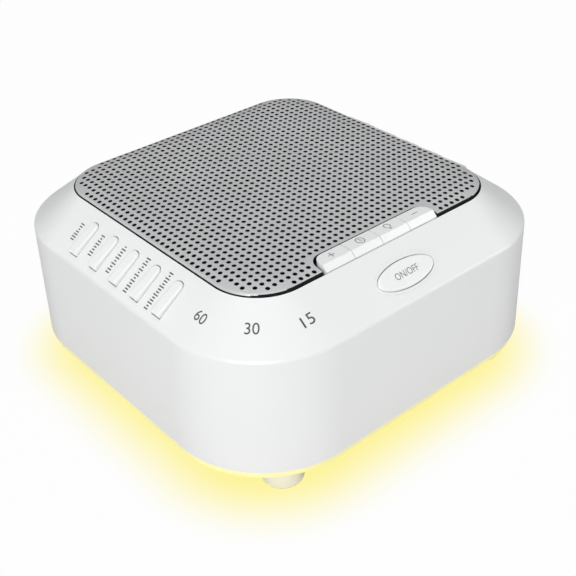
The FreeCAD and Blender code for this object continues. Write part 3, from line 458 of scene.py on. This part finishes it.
class GrillePlan:
    """The grille from above: its outline, its notch for the key bar and its holes."""

    # plain metal between a hole and the rolled edge, and between a hole and the notch
    EDGE_MARGIN = 0.05 * MM
    NOTCH_MARGIN = 0.25 * MM
    # the regular net of the sheet stays this far inside its border
    NET_MARGIN = 0.1 * MM
    # a hole in a corner may miss its limit by this
    CORNER_ALLOWANCE = 0.01 * MM
    SHEET_STEPS = 16
    NOTCH_STEPS = 8

    def __init__(self, size):
        self.size = size
        self.half = GRILLE_HIGH.x
        self.radius = size.opening_radius - (size.opening_side / 2 - self.half)
        self.inner_half = self.half - size.grille_roll
        self.inner_radius = self.radius - size.grille_roll
        left, right, _, back = bar_sides()
        self.left, self.right = left - size.notch_gap, right + size.notch_gap
        self.back = back + size.notch_gap
        self.notch_radius = size.bar_end_radius + size.notch_gap

    def fall(self, x, y):
        """How far the sheet lies under its highest level, by its distance from the edge."""
        inside = -distance_to_outline(x, y, self.half, self.radius)
        share = max(0.0, 1.0 - inside / self.size.crown_width)
        return self.size.grille_crown * share * share

    def in_notch(self, x, y):
        """Whether a point lies in the notch, whose two back corners are round."""
        r = self.notch_radius
        if not (self.left < x < self.right and y < self.back):
            return False
        side = max(self.left + r - x, x - (self.right - r), 0.0)
        return math.hypot(side, max(y - (self.back - r), 0.0)) < r

    def in_net(self, x, y):
        """Whether a point lies on the sheet, clear of its border."""
        near = self.NET_MARGIN
        if distance_to_outline(x, y, self.inner_half, self.inner_radius) > -near:
            return False
        return not (y < self.back + near and self.left - near < x < self.right + near)

    def holes(self):
        """Middle of every hole, by its place in a square lattice that starts in the middle."""
        size = self.size
        limit = self.half - size.grille_roll - size.hole / 2 - self.EDGE_MARGIN
        corner = limit - (self.radius - (self.half - limit))
        reach = limit - corner + self.CORNER_ALLOWANCE
        clear = size.hole / 2 + self.NOTCH_MARGIN
        count = round(limit / size.pitch)
        out = {}
        for i in range(-count, count + 1):
            for j in range(-count, count + 1):
                x, y = i * size.pitch, j * size.pitch
                over = (abs(x) - corner, abs(y) - corner)
                in_corner = min(over) > 0 and math.hypot(*over) > reach
                at_notch = y < self.back + clear and \
                    self.left - clear < x < self.right + clear
                if not (in_corner or at_notch):
                    out[i, j] = (x, y)
        return out

    def round_from_notch(self, half, radius, steps):
        """Points and outward normals from the notch's right end round to its left end."""
        path = rounded_path(half, radius, steps)
        last_corner = 3 * (steps + 1)
        front = Vector((0, -1))
        return [(Vector((self.right, -half)), front)] + path[last_corner:] + \
            path[:last_corner] + [(Vector((self.left, -half)), front)]

    def sheet_outline(self):
        """Closed outline of the sheet: inside the rolled edge and round the notch."""
        route = self.round_from_notch(self.inner_half, self.inner_radius, self.SHEET_STEPS)
        points = [tuple(p) for p, _ in route]
        r = self.notch_radius
        left, right, low = self.left + r, self.right - r, self.back - r
        angles = [math.pi / 2 * k / self.NOTCH_STEPS for k in range(self.NOTCH_STEPS + 1)]
        points += [(left - r * math.cos(a), low + r * math.sin(a)) for a in angles]
        points += [(right + r * math.sin(a), low + r * math.cos(a)) for a in angles]
        return points


class GrilleSheet:
    """The punched sheet: a regular net round the inner holes and a filled band at the border."""

    # border of a hole's cell in thirds of the pitch, once round from its lower left corner
    AROUND = ((0, 0), (1, 0), (2, 0), (3, 0), (3, 1), (3, 2),
              (3, 3), (2, 3), (1, 3), (0, 3), (0, 2), (0, 1))
    # a face whose middle is nearer to a hole's middle than this part of its diameter is the hole
    IN_HOLE = 0.49

    def __init__(self, plan):
        self.plan = plan
        self.bm = bmesh.new()
        self.net = {}
        self.holes = plan.holes()
        reach = plan.size.pitch / 2
        self.inner = {k for k, (x, y) in self.holes.items()
                      if all(plan.in_net(x + a * reach, y + b * reach)
                             for a in (-1, 1) for b in (-1, 1))}
        self.outer = set(self.holes) - self.inner

    def vertex(self, x, y):
        return self.bm.verts.new((x, y, 0))

    def net_vertex(self, u, v):
        """Vertex of the net, counted in thirds of the pitch from a cell's corner."""
        if (u, v) not in self.net:
            pitch = self.plan.size.pitch
            self.net[u, v] = self.vertex((u / 3 - 0.5) * pitch, (v / 3 - 0.5) * pitch)
        return self.net[u, v]

    def hole_ring(self, x, y):
        """Vertices round a hole, one for each of its cell's, from the lower left."""
        count, radius = len(self.AROUND), self.plan.size.hole / 2
        angles = [math.radians(-135 + 360 / count * k) for k in range(count)]
        return [self.vertex(x + radius * math.cos(a), y + radius * math.sin(a)) for a in angles]

    def add_net(self):
        count = len(self.AROUND)
        for i, j in sorted(self.inner):
            ring = self.hole_ring(*self.holes[i, j])
            cell = [self.net_vertex(3 * i + a, 3 * j + b) for a, b in self.AROUND]
            for k in range(count):
                m = (k + 1) % count
                self.bm.faces.new((cell[k], cell[m], ring[m], ring[k]))

    def is_open(self, x, y):
        """Whether a point of the band lies in the net, in a hole or in the notch."""
        size = self.plan.size
        i, j = round(x / size.pitch), round(y / size.pitch)
        away = math.hypot(x - i * size.pitch, y - j * size.pitch)
        in_hole = (i, j) in self.outer and away < size.hole * self.IN_HOLE
        return (i, j) in self.inner or in_hole or self.plan.in_notch(x, y)

    def add_band(self):
        """Fill between the net, the outer holes and the sheet's outline."""
        net = set(self.net.values())
        rim = [e for e in self.bm.edges if len(e.link_faces) == 1 and set(e.verts) <= net]
        points = list(dict.fromkeys(v for e in rim for v in e.verts))
        place = {v: n for n, v in enumerate(points)}
        edges = [(place[e.verts[0]], place[e.verts[1]]) for e in rim]
        rings = [self.hole_ring(*self.holes[k]) for k in sorted(self.outer)]
        rings.append([self.vertex(x, y) for x, y in self.plan.sheet_outline()])
        for ring in rings:
            first, count = len(points), len(ring)
            points += ring
            edges += [(first + k, first + (k + 1) % count) for k in range(count)]
        made = delaunay_2d_cdt([v.co.xy for v in points], edges, [], 0, SAME_POINT)
        places, faces, sources = made[0], made[2], made[3]
        verts = [points[origin[0]] if origin else self.vertex(*co)
                 for co, origin in zip(places, sources)]
        for face in faces:
            x = sum(places[n][0] for n in face) / len(face)
            y = sum(places[n][1] for n in face) / len(face)
            if not self.is_open(x, y):
                self.bm.faces.new([verts[n] for n in face])

    def mesh(self):
        self.add_net()
        self.add_band()
        bm = self.bm
        bmesh.ops.delete(bm, geom=[v for v in bm.verts if not v.link_faces], context="VERTS")
        for v in bm.verts:
            v.co.z = GRILLE_HIGH.z - self.plan.fall(v.co.x, v.co.y)
        bmesh.ops.recalc_face_normals(bm, faces=bm.faces[:])
        if sum(f.normal.z for f in bm.faces) < 0:
            bmesh.ops.reverse_faces(bm, faces=bm.faces[:])
        return mesh_from(bm, "grille_skin")


class MACHINE_OT_grille(bpy.types.Operator):
    """Perforated metal grille with a soft crown, a rolled edge and a notch for the key bar"""

    bl_idname = "machine.grille"
    bl_label = "Grille"

    ROLL_STEPS = 6
    EDGE_STEPS = 24
    EDGE_SHARP = math.radians(50)
    # the edge goes this far under the sheet, and ends this far above its seat in the well
    LAP = 0.1 * MM
    SEAT_GAP = 0.2 * MM
    # faces of the edge that look to the front or stand upright get painted shade, standing for the
    # shadowed gap and the dark reflection in the flange
    PAINTED_SHADE_FRONT = -0.6
    PAINTED_SHADE_UPRIGHT = 0.35

    def execute(self, context):
        plan = GrillePlan(context.scene.machine_sizes)
        metal = finish_material("grille_paint", context.scene.machine_looks.grille, 0.42,
                                shade=0.05, rough_spread=0.04, grain=1500.0, bump=0.08,
                                metallic=0.3)
        self.add_plate(plan, metal)
        self.add_edge(plan, metal)
        return {"FINISHED"}

    def add_plate(self, plan, metal):
        plate = make_object("grille_plate", GrilleSheet(plan).mesh(), metal, CASE, False)
        plate.data.materials.append(painted_shade())
        thick = plate.modifiers.new("thickness", "SOLIDIFY")
        thick.thickness = plan.size.sheet
        thick.offset = -1.0
        # painted shade: the hole walls and the sheet's underside take the near-black tone
        thick.material_offset = 1
        thick.material_offset_rim = 1
        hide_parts("speaker_grille")

    def edge_section(self, plan):
        """Section of the rolled edge, as pairs of a distance inwards and a height."""
        roll, flange = plan.size.grille_roll, plan.size.flange
        top = GRILLE_HIGH.z - plan.fall(plan.inner_half, 0)
        seat = GRILLE_LOW.z + self.SEAT_GAP
        angles = [math.pi / 2 * k / self.ROLL_STEPS for k in range(self.ROLL_STEPS + 1)]
        rolled = [(roll - roll * math.sin(a), top - roll + roll * math.cos(a)) for a in angles]
        return rolled + [(0.0, seat), (flange, seat), (flange, top - roll),
                         (roll + self.LAP, top - flange)]

    def add_edge(self, plan, metal):
        """The rolled edge and the flange that stands in the well."""
        section = self.edge_section(plan)
        bm = bmesh.new()
        rows = [[bm.verts.new((p.x - n.x * d, p.y - n.y * d, z)) for d, z in section]
                for p, n in plan.round_from_notch(plan.half, plan.radius, self.EDGE_STEPS)]
        for a, b in zip(rows, rows[1:]):
            for k in range(len(section)):
                m = (k + 1) % len(section)
                bm.faces.new((a[k], b[k], b[m], a[m]))
        bm.faces.new(rows[0])
        bm.faces.new(rows[-1][::-1])
        bmesh.ops.recalc_face_normals(bm, faces=bm.faces[:])
        edge = make_object("grille_edge", mesh_from(bm, "grille_edge"), metal, CASE)
        edge.data.set_sharp_from_angle(angle=self.EDGE_SHARP)
        edge.data.materials.append(painted_shade())
        # painted shade and painted dark reflection on the edge's front and upright faces
        for face in edge.data.polygons:
            if face.normal.y < self.PAINTED_SHADE_FRONT or face.normal.z < self.PAINTED_SHADE_UPRIGHT:
                face.material_index = 1
        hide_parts("speaker_grille")


# Printed marks

class MACHINE_OT_digits(bpy.types.Operator):
    """Timer digits round the front corner of the sloping band"""

    bl_idname = "machine.digits"
    bl_label = "Timer digits"

    # text, place in plan in millimetres and turn in degrees
    PLACES = (("15", -31.4, -48.6, 0), ("30", -42.8, -42.7, -45), ("60", -48.5, -31.2, -90))

    def execute(self, context):
        size = context.scene.machine_sizes
        ink = ink_material("digit_ink", context.scene.machine_looks.marks)
        flatten = Matrix.Diagonal((1, math.cos(slope_angle()), 1, 1))
        for text, x, y, turn in self.PLACES:
            place = Matrix.Translation((x * MM, y * MM, 0)) @ \
                Matrix.Rotation(math.radians(turn), 4, "Z") @ flatten
            flat = text_mesh(text, size.digit_width, size.digit_height)
            make_object("timer_digits_" + text, lay_print(flat, place, slope_z), ink, CASE, False)
        return {"FINISHED"}


class MACHINE_OT_sound_labels(bpy.types.Operator):
    """A drawn sound wave beside every sound key"""

    bl_idname = "machine.sound_labels"
    bl_label = "Sound labels"

    # lower and upper end up the slope in millimetres, from the back key to the front key
    ENDS = ((5.0, 10.5), (4.3, 11.0), (3.5, 12.0), (2.2, 12.8), (2.0, 13.0))
    BAR_STEP = 0.78 * MM
    BAR_THICK = 0.32 * MM
    # part of the label's width that the shortest bars take
    SHORTEST = 0.35
    # the wave's first angle, its turn from bar to bar, and what each sound adds to that turn
    FIRST, TURN, TURN_MORE = 0.9, 0.55, 0.37

    def wave(self, low, high, kind, width):
        """Bars whose lengths follow a wave, a different one for each sound."""
        points, faces = [], []
        half = self.BAR_THICK / 2
        count = int((high - low) / self.BAR_STEP)
        for k in range(count):
            y = low + (k + 0.5) * (high - low) / count
            swing = abs(math.sin(self.FIRST + k * (self.TURN + self.TURN_MORE * kind)))
            reach = width / 2 * (self.SHORTEST + (1 - self.SHORTEST) * swing)
            base = len(points)
            points += [(-reach, y - half), (reach, y - half), (reach, y + half), (-reach, y + half)]
            faces.append((base, base + 1, base + 2, base + 3))
        return points, faces

    def execute(self, context):
        size = context.scene.machine_sizes
        ink = ink_material("label_ink", context.scene.machine_looks.marks)
        for name, side, front in (("left", LEFT, 1), ("right", RIGHT, -1)):
            for i, (low, high) in enumerate(self.ENDS):
                key = size.sound_shift + (i - 2) * size.sound_pitch
                x = front * (key - size.label_offset)
                points, faces = self.wave(low * MM, high * MM, i, size.label_width)
                flat = flat_mesh([(x + px, py) for px, py in points], faces)
                mesh = lay_print(flat, slope_frame(side), slope_z)
                make_object("sound_label_%s_%d" % (name, i + 1), mesh, ink, CASE, False)
        return {"FINISHED"}


class MACHINE_OT_key_signs(bpy.types.Operator):
    """Plus, clock, lamp and minus on the key bar, and the sign on the power button"""

    bl_idname = "machine.key_signs"
    bl_label = "Key signs"

    def signs(self):
        """Lines of each sign, centred, in the order of the keys."""
        u = 1.0 * MM
        plus = [[(-u, 0), (u, 0)], [(0, -u), (0, u)]]
        clock = [circle_line(0, 0, 1.15 * u), [(0, 0.75 * u), (0, 0), (0.5 * u, -0.3 * u)]]
        lamp = [circle_line(0, 0.3 * u, 0.85 * u, -60, 240, 24),
                [(-0.4 * u, -0.75 * u), (0.4 * u, -0.75 * u)],
                [(-0.3 * u, -1.15 * u), (0.3 * u, -1.15 * u)]]
        minus = [[(-u, 0), (u, 0)]]
        return (("plus_key", plus), ("timer_key", clock), ("light_key", lamp), ("minus_key", minus))

    def execute(self, context):
        size = context.scene.machine_sizes
        ink = ink_material("sign_ink", context.scene.machine_looks.soft_marks)
        left, right, front, back = bar_sides()
        signs = self.signs()
        step = (right - left + size.key_gap) / len(signs)
        y = (front + size.bar_bevel + back) / 2
        level = KEY_HIGH.z + size.ink_rise - size.print_height
        for i, (key, lines) in enumerate(signs):
            x = left + step * i + (step - size.key_gap) / 2
            mesh = lay_print(drawn_mesh(lines, size.stroke), Matrix.Translation((x, y, level)))
            make_object("sign_" + key, mesh, ink, key + "_body", False)
        middle = (-size.oval_shift, size.oval_up, size.oval_proud)
        place = slope_frame(FRONT) @ Matrix.Translation(middle)
        text = text_mesh("ON/OFF", size.oval_text_width, size.oval_text_height)
        make_object("sign_power_button", lay_print(text, place), ink, "power_button_body", False)
        return {"FINISHED"}


# Finishes of the carried-over pieces

class MACHINE_OT_finishes(bpy.types.Operator):
    """White plastics, boards, speaker, screws and feet"""

    bl_idname = "machine.finishes"
    bl_label = "Finishes"

    # the painted shade of the well starts this far from its outline and from its floor
    WELL_SIDE = 0.05 * MM
    WELL_FLOOR = 0.1 * MM

    def execute(self, context):
        looks = context.scene.machine_looks
        black = (0.03, 0.03, 0.032)
        by_slot = {
            "white_shell": finish_material("housing_plastic", looks.shell, 0.30, shade=0.008,
                                           rough_spread=0.012, grain=300.0, bump=0.01, coat=0.3,
                                           coat_rough=0.2),
            "white_key": finish_material("key_plastic", looks.keys, 0.26, shade=0.008,
                                         rough_spread=0.03, grain=300.0, bump=0.01, coat=0.4,
                                         coat_rough=0.12),
            "grille_metal": finish_material("hidden_metal", looks.grille, 0.4, metallic=0.6),
            "ring_diffuser": glowing_material("lit_ring", looks.ring, looks.ring_light, 0.22),
            "foot_rubber": finish_material("pale_rubber", looks.feet, 0.6, bump=0.05),
            "board_green": finish_material("board_mask", (0.02, 0.12, 0.05), 0.35, shade=0.15),
            "board_white": finish_material("board_white", (0.8, 0.8, 0.78), 0.4),
            "black_parts": finish_material("black_moulding", (0.02, 0.02, 0.022), 0.5, shade=0.2),
            "led_lens": glowing_material("led_lens", (0.9, 0.7, 0.3), looks.glow, 4.0),
            "screw_steel": finish_material("screw_zinc", (0.55, 0.55, 0.56), 0.3, metallic=1.0),
            "speaker_steel": finish_material("frame_black", black, 0.4, shade=0.1),
            "cone_paper": finish_material("cone_fibre", black, 0.85, shade=0.3, grain=1000.0,
                                          bump=0.3),
            "soft_rubber": finish_material("surround_rubber", (0.02, 0.02, 0.02), 0.6, bump=0.1),
            "spider_cloth": finish_material("spider_cloth", (0.5, 0.35, 0.12), 0.9, bump=0.4),
            "coil_copper": finish_material("coil_copper", (0.6, 0.25, 0.1), 0.3, metallic=1.0),
            "magnet_ferrite": finish_material("ferrite", (0.05, 0.05, 0.055), 0.6, shade=0.2),
        }
        for part in frame["record"]["subparts"]:
            dress(part["node"], by_slot[part["material_slot"]])
        self.paint_well_shade(context.scene.machine_sizes)
        return {"FINISHED"}

    def paint_well_shade(self, size):
        """Painted shade: the well under the grille is painted near-black, so that the holes look
        dark.
        """
        mesh = frame["nodes"]["top_housing"].data
        mesh.materials.append(painted_shade())
        half, radius = size.opening_side / 2, size.opening_radius
        floor = HOUSING_HIGH.z - size.well_depth
        for face in mesh.polygons:
            x, y, z = face.center
            near = distance_to_outline(x, y, half, radius) < self.WELL_SIDE
            if near and z > floor - self.WELL_FLOOR:
                face.material_index = 1


# Stage

class MACHINE_OT_stage(bpy.types.Operator):
    """Pale table with the ring's glow painted on it, soft lamps and the camera"""

    bl_idname = "machine.stage"
    bl_label = "Stage"

    TABLE_HALF = 3.0
    TABLE_ROUGH = 0.6
    # the table lies this far under the feet, so that they don't share a plane
    TABLE_GAP = 0.02 * MM
    # the camera sees this part of the table as light of its own, and the rest as lit
    TABLE_SHINE = 0.97
    # the painted glow is full up to this far inside the ring and gone this far outside it
    PAINTED_GLOW_FULL = 8.5 * MM
    PAINTED_GLOW_REACH = 15.5 * MM
    # what the painted glow leaves of the table's red, green and blue
    PAINTED_GLOW_TINT = (1.0, 0.93, 0.35)
    # turn, height and roll of the view, and its place from the middle of the crease
    VIEW_TURN = math.radians(-39.4446)
    VIEW_HEIGHT = math.radians(33.9832)
    VIEW_ROLL = math.radians(-2.1768)
    VIEW_PLACE = (-153.73 * MM, -190.68 * MM, 139.94 * MM)
    VIEW_NEAR = 0.01
    LENS = 64.167
    SENSOR = 36.0
    # light of the room at the horizon and overhead
    ROOM_LOW, ROOM_HIGH = 0.075, 0.60
    LAMP_AIM = (0, 0, 0.03)
    # name, place, side and power of each lamp
    LAMPS = (("lamp_front", (-0.78, -0.61, 0.47), 0.7, 8.10),
             ("lamp_left", (-0.62, 0.70, 0.45), 0.5, 0.80),
             ("lamp_right", (0.75, -0.62, 0.45), 0.5, 2.15),
             ("lamp_top", (0.05, 0.1, 0.9), 0.7, 1.30))

    def execute(self, context):
        self.make_floor(context)
        self.make_world(context)
        self.make_lamps(context)
        self.make_camera(context)
        context.scene.view_settings.view_transform = "Standard"
        return {"FINISHED"}

    def make_floor(self, context):
        bm = bmesh.new()
        bmesh.ops.create_grid(bm, x_segments=1, y_segments=1, size=self.TABLE_HALF)
        mesh = mesh_from(bm, "table")
        mesh.materials.append(self.table_material(context))
        floor = bpy.data.objects.new("table", mesh)
        context.scene.collection.objects.link(floor)
        floor.location.z = CAD_BOX[0].z - self.TABLE_GAP

    def table_material(self, context):
        """A pale surface with the ring's glow painted into its colour, which the camera sees as
        bright as white paper.
        """
        looks = context.scene.machine_looks
        mat = bpy.data.materials.new("table_top")
        nodes, links = nodes_of(mat)
        bsdf = nodes["Principled BSDF"]
        bsdf.inputs["Roughness"].default_value = self.TABLE_ROUGH
        # painted light: the ring's glow tints both the table's colour and the light it shows the
        # camera
        glow = self.painted_glow_share(context, nodes, links)
        tinted = [c * t for c, t in zip(looks.floor, self.PAINTED_GLOW_TINT)]
        plain = mix_colours(nodes, links, glow, looks.floor, tinted)
        links.new(plain, bsdf.inputs["Base Color"])
        shine = nodes.new("ShaderNodeEmission")
        links.new(mix_colours(nodes, links, glow, (1, 1, 1), looks.painted_table_glow),
                  shine.inputs["Color"])
        path = nodes.new("ShaderNodeLightPath")
        seen = reckon(nodes, links, "MULTIPLY", path.outputs["Is Camera Ray"], self.TABLE_SHINE)
        mix = nodes.new("ShaderNodeMixShader")
        links.new(seen, mix.inputs["Fac"])
        links.new(bsdf.outputs["BSDF"], mix.inputs[1])
        links.new(shine.outputs["Emission"], mix.inputs[2])
        links.new(mix.outputs["Shader"], nodes["Material Output"].inputs["Surface"])
        return mat

    def painted_glow_share(self, context, nodes, links):
        """Share of the painted glow on the table, by the distance from the ring's outline."""
        radius = context.scene.machine_sizes.crease_radius
        place = nodes.new("ShaderNodeNewGeometry")
        split = nodes.new("ShaderNodeSeparateXYZ")
        join = nodes.new("ShaderNodeCombineXYZ")
        links.new(place.outputs["Position"], split.inputs["Vector"])
        for axis in "XY":
            size_of = reckon(nodes, links, "ABSOLUTE", split.outputs[axis])
            over = reckon(nodes, links, "SUBTRACT", size_of, RING_HIGH.x - radius)
            links.new(reckon(nodes, links, "MAXIMUM", over, 0.0), join.inputs[axis])
        reach = nodes.new("ShaderNodeVectorMath")
        reach.operation = "LENGTH"
        links.new(join.outputs["Vector"], reach.inputs[0])
        return map_range(nodes, links, reach.outputs["Value"], radius - self.PAINTED_GLOW_FULL,
                         radius + self.PAINTED_GLOW_REACH, 1.0, 0.0, "SMOOTHSTEP")

    def make_world(self, context):
        """A room that is brighter overhead, and white where the camera sees it."""
        world = bpy.data.worlds.new("pale_room")
        context.scene.world = world
        world.use_nodes = True
        nodes, links = world.node_tree.nodes, world.node_tree.links
        room = nodes["Background"]
        room.inputs["Color"].default_value = (1, 1, 1, 1)
        coords = nodes.new("ShaderNodeTexCoord")
        split = nodes.new("ShaderNodeSeparateXYZ")
        links.new(coords.outputs["Generated"], split.inputs["Vector"])
        rise = map_range(nodes, links, split.outputs["Z"], 0.0, 1.0, self.ROOM_LOW, self.ROOM_HIGH)
        links.new(rise, room.inputs["Strength"])
        seen = nodes.new("ShaderNodeBackground")
        seen.inputs["Color"].default_value = (1, 1, 1, 1)
        seen.inputs["Strength"].default_value = 1.0
        path = nodes.new("ShaderNodeLightPath")
        mix = nodes.new("ShaderNodeMixShader")
        links.new(path.outputs["Is Camera Ray"], mix.inputs["Fac"])
        links.new(room.outputs["Background"], mix.inputs[1])
        links.new(seen.outputs["Background"], mix.inputs[2])
        links.new(mix.outputs["Shader"], nodes["World Output"].inputs["Surface"])

    def make_lamps(self, context):
        for name, place, side, power in self.LAMPS:
            light = bpy.data.lights.new(name, "AREA")
            light.shape = "SQUARE"
            light.size = side
            light.energy = power
            obj = bpy.data.objects.new(name, light)
            context.scene.collection.objects.link(obj)
            obj.location = place
            obj.rotation_mode = "QUATERNION"
            back = Vector(place) - Vector(self.LAMP_AIM)
            obj.rotation_quaternion = back.to_track_quat("Z", "Y")

    def make_camera(self, context):
        turn, rise, roll = self.VIEW_TURN, self.VIEW_HEIGHT, self.VIEW_ROLL
        back = Vector((math.sin(turn) * math.cos(rise), -math.cos(turn) * math.cos(rise),
                       math.sin(rise)))
        right = Vector((math.cos(turn), math.sin(turn), 0))
        up = back.cross(right)
        side = right * math.cos(roll) + up * math.sin(roll)
        head = up * math.cos(roll) - right * math.sin(roll)
        data = bpy.data.cameras.new("view")
        data.lens = self.LENS
        data.sensor_width = self.SENSOR
        data.clip_start = self.VIEW_NEAR
        camera = bpy.data.objects.new("view", data)
        context.scene.collection.objects.link(camera)
        place = Matrix((side, head, back)).transposed().to_4x4()
        place.translation = Vector(self.VIEW_PLACE) + Vector((0, 0, crease_z()))
        camera.matrix_world = place
        context.scene.camera = camera


class MACHINE_PT_panel(bpy.types.Panel):
    """Lists the steps that dress the machine, and its sizes and colours"""

    bl_idname = "MACHINE_PT_panel"
    bl_label = "Sound machine"
    bl_space_type = "VIEW_3D"
    bl_region_type = "UI"
    bl_category = "Sound machine"

    def draw(self, context):
        for step in STEPS:
            self.layout.operator(step.bl_idname)
        for group in (context.scene.machine_sizes, context.scene.machine_looks):
            for name in group.__annotations__:
                self.layout.prop(group, name)


STEPS = (MACHINE_OT_stage, MACHINE_OT_finishes, MACHINE_OT_grille, MACHINE_OT_digits,
         MACHINE_OT_sound_labels, MACHINE_OT_key_signs)
CLASSES = (MachineSizes, MachineLooks, *STEPS, MACHINE_PT_panel)


def register():
    for cls in CLASSES:
        bpy.utils.register_class(cls)
    bpy.types.Scene.machine_sizes = PointerProperty(type=MachineSizes)
    bpy.types.Scene.machine_looks = PointerProperty(type=MachineLooks)


def unregister():
    del bpy.types.Scene.machine_looks
    del bpy.types.Scene.machine_sizes
    for cls in reversed(CLASSES):
        bpy.utils.unregister_class(cls)


def main():
    register()
    for step in STEPS:
        group, name = step.bl_idname.split(".")
        getattr(getattr(bpy.ops, group), name)()


if __name__ == "__main__":
    main()
